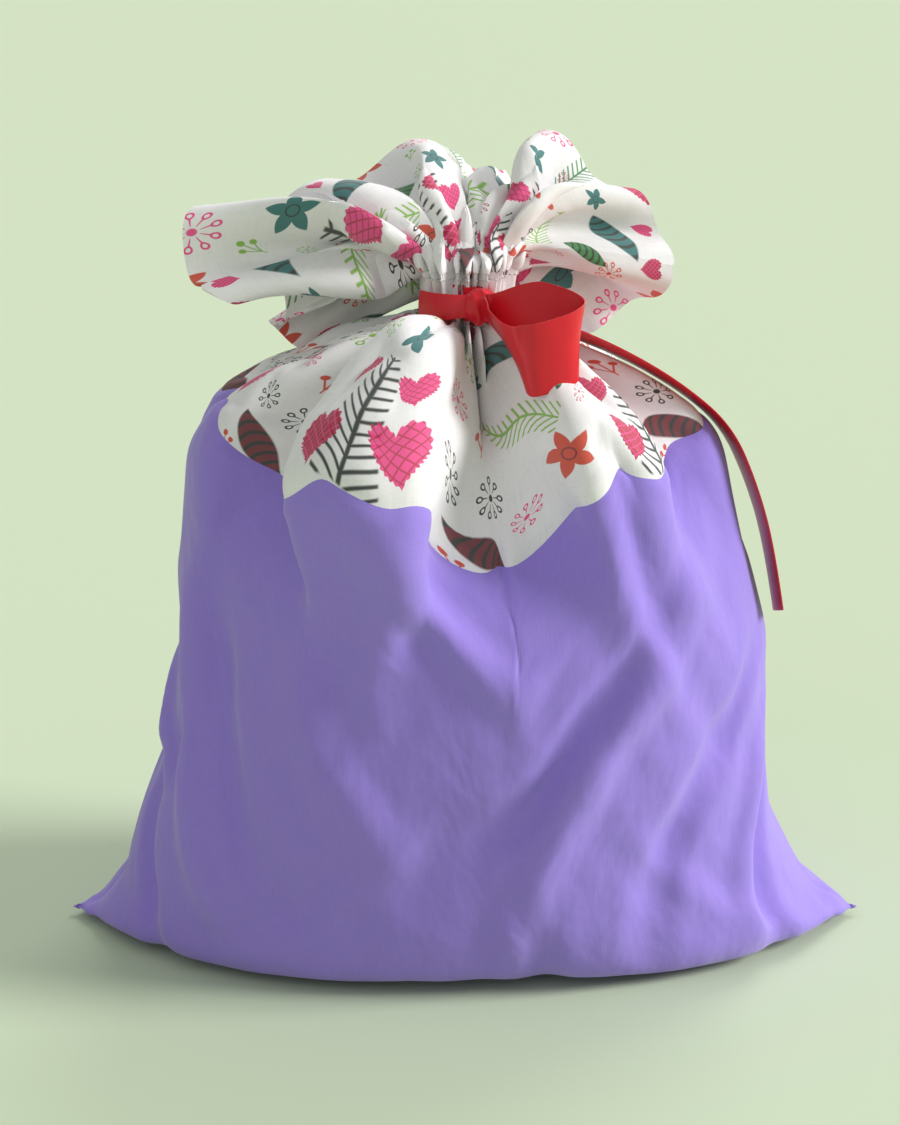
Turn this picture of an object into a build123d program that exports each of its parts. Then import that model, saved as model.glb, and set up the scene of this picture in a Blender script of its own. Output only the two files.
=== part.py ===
from build123d import *

import os
from math import cos, pi, radians, sin, tan

# A drawstring gift pouch: a lined cotton sack with a printed, self-faced collar. A satin ribbon runs through
# a casing in the collar, gathers it into a neck and is tied in a half bow at the front right.
# The origin is on the floor under the middle of the pouch. +Z is up and the front faces -Y. Millimetres.

# ---- cloth ------------------------------------------------------------------------------------------
PANEL_CLOTH = 0.8  # the plain outer cotton, and the printed collar
LINING_CLOTH = 0.6  # the lining, and the collar's printed facing
SEAM_CLOTH = 0.5  # a pressed seam allowance
LAYER_GAP = 0.2  # air between one layer of cloth and the next
SEAM_ALLOWANCE = 8.0  # width of cloth beyond a row of stitches, on one side

# ---- the filled sack ---------------------------------------------------------------------------------
EAR_HALF_SPAN = 150.0  # middle of the base to the tip of a corner ear
BASE_HALF_DEPTH = 80.0  # middle of the base to its front edge
EAR_TOP = 24.0  # height at which an ear has merged into the body
EAR_TOP_HALF_WIDTH = 131.0
EAR_TOP_HALF_DEPTH = 85.0
BELLY_HEIGHT = 85.0  # where the sack is fullest
BELLY_HALF_WIDTH = 109.0
BELLY_HALF_DEPTH = 86.0
CHEST_DROP = 41.0  # from the join with the collar down to the chest
CHEST_HALF_WIDTH = 103.0
CHEST_HALF_DEPTH = 81.0
JOIN_HEIGHT = 186.0  # seam between the plain body and the printed collar
JOIN_HALF_WIDTH = 90.0
JOIN_HALF_DEPTH = 71.0
SHOULDER_DROP = 13.0  # from the foot of the neck down to the middle of the shoulder
SHOULDER_HALF_WIDTH = 57.0
SHOULDER_HALF_DEPTH = 47.0
EAR_SHARPNESS = 1.25  # power of the base outline across the sack: 1 is a sharp ear, 2 is round
FULLNESS = 2.3  # power of the outline higher up
EAR_TAPER = 3.0  # inside a sharp ear, a layer's tip draws back by this many times its depth

# ---- the gathered neck, with the casing for the ribbon ---------------------------------------------------
NECK_FOOT = 222.0  # height where the shoulder meets the pleats
NECK_HEIGHT = 20.0
NECK_RADIUS = 17.0  # at the foot and at the top of the pleats
WAIST_RADIUS = 14.5  # where the ribbon squeezes them
NECK_PASSAGE_RADIUS = 7.0  # the hole that stays open between the pleats
INNER_PLEAT = 2.2  # thickness of the gathered facing, inside the ribbon
STITCH_HEIGHT = 0.8  # of a row of casing stitches
STITCH_OFFSET = 8.5  # of each row above or below the ribbon's middle

# ---- the ruffle above the neck -----------------------------------------------------------------------
RUFFLE_GAP = 6.0  # above the neck, so that the ruffle can tilt
RUFFLE_FOOT_RADIUS = 15.0
RUFFLE_HEIGHT = 43.0
RUFFLE_HALF_WIDTH = 88.0
RUFFLE_FRONT_DEPTH = 42.0
RUFFLE_BACK_DEPTH = 66.0
RUFFLE_LOBES = 5
LOBE_DEPTH = 0.10  # share of the radius by which a lobe stands out at the rim

# ---- the ribbon --------------------------------------------------------------------------------------
RIBBON_WIDTH = 25.0
RIBBON_THICKNESS = 0.8
RUN_HEIGHT = 13.0  # the ribbon is bunched inside its casing
RUN_THICKNESS = 2.2
RUN_CLEARANCE = 0.3
SLOT_WIDTH = 9.0  # the opening in the casing, where both ends come out
KNOT_DEPTH = 11.0
KNOT_WIDTH = 13.0
KNOT_HEIGHT = 14.0
KNOT_ROUNDING = 3.5
KNOT_DIRECTION = -75.0  # degrees from +X, seen from above
LOOP_DIRECTION = -60.0
LOOP_CLEARANCE = 1.6  # lets the loop turn beside the knot
LOOP_BEND = 4.0  # radius of the ribbon's folds in the loop
PINCHED_WIDTH = 6.0  # width of the ribbon where it enters the knot
PINCH_LENGTH = 18.0  # the ribbon spreads to its full width over this length
TAIL_PLANE = -14.0  # the tail lies in an upright plane square to Y, at this depth
HINGE_GAP = 1.0  # between the tail's two halves at the fold, so that they can turn

SACK_POINTS = 20  # points of a sack outline
LOBE_POINTS = 6  # points of the ruffle's outline for each lobe
BIG = 400.0  # half the side of a box that cuts a shape in two

NECK_TOP = NECK_FOOT + NECK_HEIGHT
WAIST_HEIGHT = NECK_FOOT + NECK_HEIGHT / 2
RUFFLE_FOOT = NECK_TOP + RUFFLE_GAP
RUFFLE_RIM = RUFFLE_FOOT + RUFFLE_HEIGHT
INNER_PLEAT_RADIUS = NECK_PASSAGE_RADIUS + INNER_PLEAT
RUN_INNER = INNER_PLEAT_RADIUS + RUN_CLEARANCE
RUN_OUTER = RUN_INNER + RUN_THICKNESS
OUTER_PLEAT_RADIUS = RUN_OUTER + RUN_CLEARANCE
KNOT_INNER = WAIST_RADIUS + RUN_CLEARANCE
KNOT_OUTER = KNOT_INNER + KNOT_DEPTH

# How far below the sack's outer surface each layer begins and ends.
PANEL = (0.0, PANEL_CLOTH)
ALLOWANCE = (PANEL[1] + LAYER_GAP, PANEL[1] + LAYER_GAP + SEAM_CLOTH)
LINING = (ALLOWANCE[1] + LAYER_GAP, ALLOWANCE[1] + LAYER_GAP + LINING_CLOTH)
FACING = (PANEL_CLOTH + LAYER_GAP, PANEL_CLOTH + LAYER_GAP + LINING_CLOTH)

# The tail's route in its own plane, as (x, z): out of the knot and over the shoulder, then down the side.
TAIL_HINGE = (91.0, 189.5)
TAIL_OVER_SHOULDER = [(15.0, 230.0), (35.0, 223.0), (55.0, 214.5), (74.0, 203.5)]
TAIL_HANGING = [(100.5, 169.0), (107.5, 146.0), (111.5, 122.0)]

# The loop seen from the side, as (distance from the knot, height above the ribbon's middle).
LOOP_SIDE = [(0.0, -1.0), (9.0, 9.0), (25.0, 9.0), (35.0, -6.0), (33.0, -20.0), (18.0, -20.0)]


def block(x=(-BIG, BIG), y=(-BIG, BIG), z=(-BIG, BIG)):
    """A box given by its range along each axis."""
    ranges = (x, y, z)
    middle = [(low + high) / 2 for low, high in ranges]
    return Pos(*middle) * Box(*[high - low for low, high in ranges])


def halves(shape):
    """The front and the back of a shape."""
    return shape & block(y=(-BIG, 0)), shape & block(y=(0, BIG))


def signed_power(value, power):
    """|value| raised to a power, with value's own sign."""
    return (1 if value >= 0 else -1) * abs(value) ** power


# ---- the sack ----------------------------------------------------------------------------------------


def sack_outline(height, half_width, half_depth, across):
    """A closed outline at a height: |x/a|^across + |y/b|^FULLNESS = 1."""
    points = []
    for step in range(SACK_POINTS):
        turn = 2 * pi * step / SACK_POINTS
        x = half_width * signed_power(cos(turn), 2 / FULLNESS)
        y = half_depth * signed_power(sin(turn), 2 / across)
        points.append(Vector(x, y, height))
    return Wire([Edge.make_spline(points, periodic=True)])


def sack(depth):
    """The solid inside the sack's cloth, at a depth below the outer surface."""
    tip = EAR_HALF_SPAN - (EAR_TAPER - 1) * depth
    merging = (EAR_SHARPNESS + FULLNESS) / 2
    sections = [
        (depth, tip, BASE_HALF_DEPTH, EAR_SHARPNESS),
        (EAR_TOP, EAR_TOP_HALF_WIDTH, EAR_TOP_HALF_DEPTH, merging),
        (BELLY_HEIGHT, BELLY_HALF_WIDTH, BELLY_HALF_DEPTH, FULLNESS),
        (JOIN_HEIGHT - CHEST_DROP, CHEST_HALF_WIDTH, CHEST_HALF_DEPTH, FULLNESS),
        (JOIN_HEIGHT - depth / 2, JOIN_HALF_WIDTH, JOIN_HALF_DEPTH, FULLNESS),
        (NECK_FOOT - SHOULDER_DROP - depth, SHOULDER_HALF_WIDTH, SHOULDER_HALF_DEPTH, 2.1),
        (NECK_FOOT - depth, NECK_RADIUS, NECK_RADIUS, 2.0),
    ]
    return Solid.make_loft([sack_outline(z, a - depth, b - depth, power) for z, a, b, power in sections])


def sack_layer(depths, sacks):
    """The shell of cloth between two depths below the outer surface."""
    outer, inner = (sacks[depth] for depth in depths)
    return outer - inner


def body_cloth(sacks):
    """The plain outer panels and their lining, up to the join with the collar."""
    below = block(z=(-1, JOIN_HEIGHT))
    front_panel, back_panel = halves(sack_layer(PANEL, sacks) & below)
    front_lining, back_lining = halves(sack_layer(LINING, sacks) & below)
    return {
        "front_panel": front_panel,
        "back_panel": back_panel,
        "front_lining": front_lining,
        "back_lining": back_lining,
    }


def collar_cloth(sacks):
    """The printed collar on the shoulder, and its printed facing inside, open where the neck passes."""
    passage = Pos(0, 0, NECK_FOOT) * Cylinder(NECK_PASSAGE_RADIUS, 2 * SHOULDER_DROP)
    above = block(z=(JOIN_HEIGHT, BIG)) - passage
    collar_front, collar_back = halves(sack_layer(PANEL, sacks) & above)
    facing_front, facing_back = halves(sack_layer(LINING, sacks) & above)
    return {
        "collar_front": collar_front,
        "collar_back": collar_back,
        "facing_front": facing_front,
        "facing_back": facing_back,
    }


def seams(sacks):
    """The pressed seam allowances between the outer cloth and the lining."""
    strip = sack_layer(ALLOWANCE, sacks)
    join_foot = JOIN_HEIGHT - SEAM_ALLOWANCE
    join_front, join_back = halves(strip & block(z=(join_foot, JOIN_HEIGHT)))
    along = strip & block(y=(-SEAM_ALLOWANCE, SEAM_ALLOWANCE), z=(-1, join_foot - LAYER_GAP))
    end = BELLY_HALF_WIDTH
    lying = (-1, ALLOWANCE[1])
    sides = along - block(x=(-end - LAYER_GAP, end + LAYER_GAP), z=lying)
    return {
        "join_seam_front": join_front,
        "join_seam_back": join_back,
        "side_seam_left": sides & block(x=(-BIG, 0)),
        "side_seam_right": sides & block(x=(0, BIG)),
        "bottom_seam": along & block(x=(-end, end), z=lying),
    }


# ---- the neck ----------------------------------------------------------------------------------------


def neck_frame(distance=0.0, direction=KNOT_DIRECTION):
    """A place at the ribbon's height, at a distance from the pouch's axis, turned to face outwards."""
    return Pos(0, 0, WAIST_HEIGHT) * Rot(0, 0, direction) * Pos(distance, 0, 0)


def neck_pleats():
    """The outer pleats, with a waist and a slot for the ribbon, and the gathered facing inside them."""
    half_waist = RUN_HEIGHT / 2
    profile = [
        (OUTER_PLEAT_RADIUS, NECK_FOOT),
        (NECK_RADIUS, NECK_FOOT),
        (WAIST_RADIUS, WAIST_HEIGHT - half_waist),
        (WAIST_RADIUS, WAIST_HEIGHT + half_waist),
        (NECK_RADIUS, NECK_TOP),
        (OUTER_PLEAT_RADIUS, NECK_TOP),
    ]
    outer = revolve(make_face(Polyline([(r, 0, z) for r, z in profile], close=True)), Axis.Z)
    outer -= neck_frame(NECK_RADIUS) * Box(NECK_RADIUS, SLOT_WIDTH, RUN_HEIGHT)
    inner = Cylinder(INNER_PLEAT_RADIUS, NECK_HEIGHT) - Cylinder(NECK_PASSAGE_RADIUS, NECK_HEIGHT)
    casing_front, casing_back = halves(outer)
    facing_front, facing_back = halves(Pos(0, 0, WAIST_HEIGHT) * inner)
    return {
        "casing_front": casing_front,
        "casing_back": casing_back,
        "casing_facing_front": facing_front,
        "casing_facing_back": facing_back,
    }


def casing_stitches():
    """The two rows of stitches that hold the pleats together above and below the ribbon."""
    row = Cylinder(RUN_OUTER, STITCH_HEIGHT) - Cylinder(RUN_INNER, STITCH_HEIGHT)
    return {
        "casing_stitch_upper": Pos(0, 0, WAIST_HEIGHT + STITCH_OFFSET) * row,
        "casing_stitch_lower": Pos(0, 0, WAIST_HEIGHT - STITCH_OFFSET) * row,
    }


# ---- the ruffle --------------------------------------------------------------------------------------


def lobed_outline(height, half_width, front_depth, back_depth, lobe):
    """A closed outline whose radius swells and shrinks once for each lobe."""
    count = RUFFLE_LOBES * LOBE_POINTS
    points = []
    for step in range(count):
        turn = 2 * pi * step / count
        swell = 1 + lobe * cos(RUFFLE_LOBES * (turn - pi))
        half_depth = back_depth if sin(turn) > 0 else front_depth
        points.append(Vector(half_width * swell * cos(turn), half_depth * swell * sin(turn), height))
    return Wire([Edge.make_spline(points, periodic=True)])


def ruffle_cup(depth):
    """The solid inside the flared, lobed ruffle, at a depth below its outer surface."""
    foot = [RUFFLE_FOOT_RADIUS - depth] * 3
    rim = [size / (1 + LOBE_DEPTH) - depth for size in (RUFFLE_HALF_WIDTH, RUFFLE_FRONT_DEPTH, RUFFLE_BACK_DEPTH)]
    middle = [(a + b) / 2 for a, b in zip(foot, rim)]
    return Solid.make_loft(
        [
            lobed_outline(RUFFLE_FOOT, *foot, 0.0),
            lobed_outline(RUFFLE_FOOT + 0.42 * RUFFLE_HEIGHT, *middle, LOBE_DEPTH / 2),
            lobed_outline(RUFFLE_RIM, *rim, LOBE_DEPTH),
        ]
    )


def ruffle():
    """The top of the collar, fanned out above the neck: the outer cloth and its facing, front and back."""
    cloth_front, cloth_back = halves(ruffle_cup(0.0) - ruffle_cup(PANEL_CLOTH))
    facing_front, facing_back = halves(ruffle_cup(FACING[0]) - ruffle_cup(FACING[1]))
    return {
        "ruffle_front": cloth_front,
        "ruffle_front_facing": facing_front,
        "ruffle_back": cloth_back,
        "ruffle_back_facing": facing_back,
    }


# ---- the ribbon --------------------------------------------------------------------------------------


def ribbon_run():
    """The bunched ribbon inside the casing, with its two ends coming out of the slot to the knot."""
    ring = Cylinder(RUN_OUTER, RUN_HEIGHT - 2 * RUN_CLEARANCE) - Cylinder(RUN_INNER, RUN_HEIGHT)
    stub_length = KNOT_INNER - RUN_INNER
    stub = Box(stub_length, SLOT_WIDTH - 2 * RUN_CLEARANCE, RUN_HEIGHT - 4 * RUN_CLEARANCE)
    core = Cylinder(RUN_INNER, RUN_HEIGHT)
    run = neck_frame() * ring + neck_frame(RUN_INNER + stub_length / 2) * stub
    return run - neck_frame() * core


def ribbon_knot():
    """The tight knot over the slot."""
    knot = Box(KNOT_DEPTH, KNOT_WIDTH, KNOT_HEIGHT)
    return neck_frame(KNOT_INNER + KNOT_DEPTH / 2) * fillet(knot.edges(), KNOT_ROUNDING)


def pinch():
    """An upright prism along +X that narrows to the pinched width at the origin."""
    wide, narrow = RIBBON_WIDTH / 2, PINCHED_WIDTH / 2
    corners = [(0, -narrow), (PINCH_LENGTH, -wide), (BIG, -wide), (BIG, wide), (PINCH_LENGTH, wide), (0, narrow)]
    return extrude(make_face(Polyline(corners, close=True)), BIG, both=True)


def ribbon_loop():
    """The loop of the bow: a closed band that droops in front of the shoulder."""
    side = make_face(Plane.XZ * Polyline(LOOP_SIDE, close=True))
    outer = fillet(side.vertices(), LOOP_BEND)
    inner = offset(outer, amount=-RIBBON_THICKNESS)
    band = extrude(outer - inner, RIBBON_WIDTH / 2, both=True)
    return neck_frame(KNOT_OUTER + LOOP_CLEARANCE, LOOP_DIRECTION) * (band & pinch())


def bend_radii(route):
    """For each corner of a route, a radius for which both its runs leave room."""
    radii = []
    for a, b, c in zip(route, route[1:], route[2:]):
        before, after = b - a, c - b
        turn = radians(before.get_angle(after))
        radii.append(0.45 * min(before.length, after.length) / tan(turn / 2))
    return radii


def ribbon_strip(name, route):
    """A flat strip of ribbon along a route of straight runs and tangent arcs, in the plane square to Y."""
    points = [Vector(x, z) for x, z in route]
    radii = bend_radii(points)
    line = FilletPolyline(*points, radius=radii)
    print(name, "length", round(line.length, 1), "radii", [round(radius, 1) for radius in radii])
    strip = extrude(trace(line, RIBBON_THICKNESS), RIBBON_WIDTH / 2, both=True)
    return Rot(90, 0, 0) * strip


def beside_hinge(neighbour):
    """The end of a half of the tail: a little way from the hinge towards that half's next point."""
    step = Vector(*neighbour) - Vector(*TAIL_HINGE)
    end = Vector(*TAIL_HINGE) + step.normalized() * (HINGE_GAP / 2)
    return end.X, end.Y


def ribbon_tail():
    """The long tail, in two halves that turn against each other where it goes over the shoulder."""
    over, hanging = TAIL_OVER_SHOULDER, TAIL_HANGING
    upper = ribbon_strip("ribbon_tail_upper", [*over, beside_hinge(over[-1])])
    upper &= Pos(over[0][0], 0, 0) * pinch()
    end = ribbon_strip("ribbon_tail_end", [beside_hinge(hanging[0]), *hanging])
    place = Pos(0, TAIL_PLANE, 0)
    return {"ribbon_tail_upper": place * upper, "ribbon_tail_end": place * end}


def main():
    sacks = {depth: sack(depth) for depth in (*PANEL, *ALLOWANCE, *LINING)}
    nodes = {
        **body_cloth(sacks),
        **collar_cloth(sacks),
        **seams(sacks),
        **neck_pleats(),
        **casing_stitches(),
        **ruffle(),
        "ribbon_run": ribbon_run(),
        "ribbon_knot": ribbon_knot(),
        "ribbon_loop": ribbon_loop(),
        **ribbon_tail(),
    }
    os.makedirs("parts", exist_ok=True)
    for name, shape in nodes.items():
        export_step(shape, f"parts/{name}.step")


if __name__ == "__main__":
    main()
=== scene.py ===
from math import atan2, cos, pi, radians, sin, sqrt, tan

import bmesh
import bpy
from mathutils import Matrix, Vector
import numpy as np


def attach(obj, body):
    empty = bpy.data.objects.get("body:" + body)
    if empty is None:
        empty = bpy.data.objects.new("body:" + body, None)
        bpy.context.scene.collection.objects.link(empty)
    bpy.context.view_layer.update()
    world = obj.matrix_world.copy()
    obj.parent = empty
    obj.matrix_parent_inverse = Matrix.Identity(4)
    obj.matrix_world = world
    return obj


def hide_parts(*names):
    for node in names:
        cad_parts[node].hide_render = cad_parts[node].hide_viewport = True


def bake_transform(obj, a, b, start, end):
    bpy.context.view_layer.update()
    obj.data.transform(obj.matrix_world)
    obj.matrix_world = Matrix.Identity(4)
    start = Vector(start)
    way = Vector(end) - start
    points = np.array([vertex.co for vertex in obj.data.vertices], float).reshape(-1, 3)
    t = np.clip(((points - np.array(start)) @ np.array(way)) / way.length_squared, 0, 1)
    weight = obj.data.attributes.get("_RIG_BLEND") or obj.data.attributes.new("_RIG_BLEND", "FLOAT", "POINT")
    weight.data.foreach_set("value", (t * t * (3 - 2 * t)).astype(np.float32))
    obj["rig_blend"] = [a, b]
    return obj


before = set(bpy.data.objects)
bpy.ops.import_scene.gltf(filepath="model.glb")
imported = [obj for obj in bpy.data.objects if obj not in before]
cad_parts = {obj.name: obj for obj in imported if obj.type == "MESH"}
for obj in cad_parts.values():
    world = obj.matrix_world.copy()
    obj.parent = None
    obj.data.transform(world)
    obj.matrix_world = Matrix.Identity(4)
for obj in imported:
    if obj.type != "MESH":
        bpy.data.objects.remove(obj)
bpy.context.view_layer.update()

MM = 0.001

# ---- the view, in metres and degrees ---------------------------------------------------------------------
LENS = 85
CAMERA_TILT = 15
CAMERA_TARGET = (-0.0054, 0, 0.1358)
CAMERA_DISTANCE = 0.956
FLOOR_REACH = 60.0

# ---- the cloth's pattern, in millimetres: u runs round from the left seam, v up from the bottom seam -------
BAG_WIDTH = 345
ROUND = 2 * BAG_WIDTH
FRONT = (0, BAG_WIDTH)
BACK = (BAG_WIDTH, ROUND)
JOIN_V = 268  # the seam between the plain body and the printed collar
NECK_V = 352  # where the pleats begin
NECK_LENGTH = 20
RUFFLE_LENGTH = 84
RUFFLE_V = NECK_V + NECK_LENGTH
TOP_V = RUFFLE_V + RUFFLE_LENGTH
COLUMNS = 192
ROWS = 126

# ---- how the cloth settles: how firmly it keeps its shape, how heavy it hangs and for how long -------------
RUFFLE_HOLD = 0.15
BODY_HOLD = 0.10
GRAVITY = 0.4
FRAMES = 24
CLOTH_GAP = 0.0015  # what the cloth keeps clear of the contents and the floor, in metres
CONTENTS_TOP = 190
CONTENTS_FOOT = 3
CONTENTS_INSET = 4

# ---- the layers: how deep each lies inside the outer cloth, and how thick it is ----------------------------
PANEL_THICKNESS = 1.3
TOP_THICKNESS = 0.8
INNER_THICKNESS = 0.6
LINING_DEPTH = 2.4
FACING_DEPTH = 1
RUFFLE_FACING_DEPTH = 0.85
SEAM_DEPTH = 1.5
SEAM_THICKNESS = 0.5
ALLOWANCE = 8
EAR_CORNER = 64  # the corners of the bag are too thin to hold the lining
FACING_FOOT = JOIN_V + 6
FACING_TOP = NECK_V - 12
SOFTENINGS = 5
FOLD_BOOST = 0.35
SEAM_PINCH = 0.9
CRISP_EDGE = 65

# ---- the filled body: height, half width to the left and to the right, half depth, how square -------------
BODY_RINGS = [
    (3, 146, 146, 77, 1.35),
    (12, 138, 140, 81, 1.6),
    (24, 129, 127, 83, 1.9),
    (47, 121, 114, 84, 2.2),
    (66, 113, 111, 85, 2.3),
    (85, 106, 108, 85, 2.4),
    (118, 102, 108.5, 83, 2.4),
    (144, 102.5, 102, 80, 2.4),
    (166, 98, 94, 76, 2.4),
    (186, 93, 87, 70, 2.3),
    (198, 83, 77, 61, 2.2),
    (209, 62, 60, 47, 2.1),
    (217, 38, 37, 32, 2),
]
SQUARE_ENDS = 2.3  # how square every ring is at its left and right ends
BOTTOM_HALF = 149
SEAM_LIFT = 2
NECK_Z = 222
PLEATS = 24
PLEAT_INNER = 6
PLEAT_OUTER = 17.5
WAIST_INNER = 12.3  # the pleats lie outside the ribbon in its casing
WAIST_SQUEEZE = 2
GATHER = 7  # half the depth of the gathers that run from the neck down the shoulder
GATHER_REACH = 62
BROAD_FOLD = 138
BROAD_HALF = 34
TOP_GATHER = 9
TOP_FLUTE = 12
FLUTES = 13
SLEEVE_RADIUS = 8.35
SLEEVE_FLARE = 1.2
SLEEVE_PLEAT = 0.5
SLEEVE_CLEARANCE = 0.3
STITCH_PITCH = 3.6
STITCH_LENGTH = 2.4
STITCH_INSET = 1.8
STITCH_LIFT = 0.25
STITCH_RADIUS = 0.22

# Big folds of the shoulder: place round the bag, half width, height (below 0 in a valley), top and foot in v.
FOLDS = [
    (41, 32.3, 9, 345, 225),
    (86.2, 19.4, -18, 347, 212),
    (BROAD_FOLD, 41, 21, 348, 228),
    (189.8, 19.5, -31, 347, 205),
    (239.3, 32.3, 10, 345, 230),
    (286.8, 17.2, -10, 345, 235),
    (323.4, 25.9, 7, 345, 230),
    (401.1, 23.7, -16, 345, 220),
    (452.8, 36.7, 12, 345, 225),
    (506.7, 19.4, -20, 345, 210),
    (556.3, 36.7, 11, 345, 225),
    (610.2, 21.6, -17, 345, 220),
    (653.3, 28, 8, 345, 230),
]

FOLD_SPREAD = 1.6
VALLEY_SPREAD = 1.7
SLIP = 1.15  # how far the cloth slides down in a valley, for each millimetre of its depth

# Soft creases of the body: from and to, in (u, v), half width and height.
CREASES = [
    ((150, 262), (205, 215), 16, 4.5),
    ((262, 215), (150, 110), 15, -5.2),
    ((290, 240), (185, 95), 16, 5.2),
    ((312, 185), (235, 75), 14, -5.2),
    ((322, 150), (285, 60), 12, 4.5),
    ((55, 230), (115, 95), 15, -5.2),
    ((38, 205), (92, 75), 14, 4.8),
    ((100, 235), (155, 125), 16, 4.5),
    ((22, 120), (62, 45), 11, -5.2),
    ((8, 150), (45, 112), 12, 5.2),
    ((330, 120), (295, 40), 12, -5.2),
    ((395, 225), (450, 110), 15, -4.8),
    ((420, 235), (490, 110), 15, 4.5),
    ((500, 215), (560, 110), 14, -4.8),
    ((640, 210), (575, 95), 15, 4.8),
    ((600, 240), (530, 140), 14, -4.5),
]

# The ruffle's rim, from the left seam over the front to the right seam and back behind.
RIM = [
    (-93, -9, 239), (-97, 2, 258), (-80, 12, 263), (-60, 16, 264), (-48, 20, 272), (-40, 30, 276),
    (-22, 38, 279), (-7, 43, 280), (3, 47, 279), (8, 60, 267), (15, 60, 266), (19, 41, 270),
    (24, 32, 281), (31, 28, 284), (43, 23, 281), (54, 18, 266), (65, 13, 263), (73, 8, 249),
    (72, 10, 239), (63, 16, 229), (49, 24, 219), (42, 36, 222), (29, 58, 236), (10, 66, 250),
    (-8, 66, 246), (-24, 60, 232), (-44, 48, 216), (-62, 32, 208), (-71, 24, 222), (-64, 6, 234),
]

# The ribbon's tail, the same points as its solid's route: x and z in an upright plane.
TAIL_PLANE = -14
TAIL_ROUTE = [
    (15, 230), (35, 223), (55, 214.5), (74, 203.5), (91, 189.5),
    (100.5, 169), (107.5, 146), (111.5, 122),
]
TAIL_LEAN = (-16, -5)  # how far the tail leans about its own line at its start and its end
TAIL_CLEARANCE = 2.4
TAIL_SLANT = 7  # the tail's cut end runs slantwise
RIBBON_WIDTH = 25
RIBBON_THICKNESS = 0.4
PINCHED_WIDTH = 9

# The knot, by its way from the middle of the neck, and its half length and radius.
KNOT_DIRECTION = radians(-75)
KNOT_REACH = 20.3
KNOT_Z = 232
KNOT_HALF = 6.4
KNOT_RADIUS = 5.6

# The bow's loop, from the knot round and back: place, and which way the ribbon's width points.
LOOP_ROUTE = [
    ((6.5, -23.5, 232.5), (-0.3, 0.3, 1)),
    ((13, -28, 232.5), (-0.2, 0.3, 1)),
    ((23, -32.5, 230.5), (0.05, 0.25, 1)),
    ((32, -37, 228.5), (0.15, 0.15, 1)),
    ((38, -44, 226), (0.1, 0.05, 1)),
    ((36.5, -51.5, 223.5), (0, -0.1, 1)),
    ((29, -55, 221.5), (0, -0.15, 1)),
    ((21, -56, 219.5), (-0.1, -0.15, 1)),
    ((17.5, -52, 219.5), (-0.4, 0, 1)),
    ((12.5, -39, 225), (-0.6, 0.1, 1)),
    ((9, -29.5, 230), (-0.5, 0.2, 1)),
    ((6.5, -24.5, 232.5), (-0.3, 0.2, 1)),
]

# The short run of ribbon out of the casing, left of the knot.
RUN_ROUTE = [
    ((-15.5, -11.5, 231), (0, 0.1, 1)),
    ((-12.5, -17, 231.5), (0, 0.1, 1)),
    ((-7, -20.5, 232), (0, 0.2, 1)),
    ((-1.5, -22, 232.5), (0.1, 0.2, 1)),
    ((3, -21.5, 232.5), (0, 0.1, 1)),
]


def smoothstep(low, high, value):
    t = min(1.0, max(0.0, (value - low) / (high - low)))
    return t * t * (3 - 2 * t)


def mix(a, b, t):
    return a + (b - a) * t


# ---- camera, light and floor ---------------------------------------------------------------------------


def place_camera():
    """A long lens in front of the pouch, looking slightly down on it."""
    tilt = radians(CAMERA_TILT)
    away = Vector((0, -cos(tilt), sin(tilt)))
    data = bpy.data.cameras.new("camera")
    data.lens = LENS
    camera = bpy.data.objects.new("camera", data)
    camera.location = Vector(CAMERA_TARGET) + away * CAMERA_DISTANCE
    camera.rotation_euler = (pi / 2 - tilt, 0, 0)
    bpy.context.collection.objects.link(camera)
    bpy.context.scene.camera = camera


def place_sun(name, away, softness, power, colour):
    """A far lamp in the direction given, with soft-edged shadows."""
    data = bpy.data.lights.new(name, "SUN")
    data.angle = radians(softness)
    data.energy = power
    data.color = colour
    lamp = bpy.data.objects.new(name, data)
    lamp.rotation_euler = Vector(away).to_track_quat("Z", "Y").to_euler()
    bpy.context.collection.objects.link(lamp)


def light_studio():
    """Soft daylight from the right, a rim light behind, a faint fill in front and a pale surround."""
    place_sun("window_light", (1.0, -0.10, 0.50), softness=22, power=3.3, colour=(1.0, 0.985, 0.97))
    place_sun("back_rim", (0.35, 0.75, 0.85), softness=30, power=0.9, colour=(1.0, 1.0, 1.0))
    place_sun("front_fill", (-0.35, -0.8, 0.5), softness=50, power=0.25, colour=(0.95, 0.97, 1.0))
    world = bpy.data.worlds.new("studio")
    world.use_nodes = True
    background = world.node_tree.nodes["Background"]
    background.inputs["Color"].default_value = (0.86, 0.90, 0.84, 1)
    background.inputs["Strength"].default_value = 0.50
    bpy.context.scene.world = world
    bpy.context.scene.view_settings.view_transform = "Standard"


def lay_floor():
    """A sheet of pale green paper, so wide that its edge is never in the picture."""
    paper, _, _ = new_material("pale_green_paper", Roughness=0.9, Base_Color=(0.565, 0.655, 0.47, 1))
    bm = bmesh.new()
    bmesh.ops.create_grid(bm, x_segments=1, y_segments=1, size=FLOOR_REACH)
    floor = make_object("floor", bm, paper)
    return floor


# ---- materials -----------------------------------------------------------------------------------------


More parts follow.
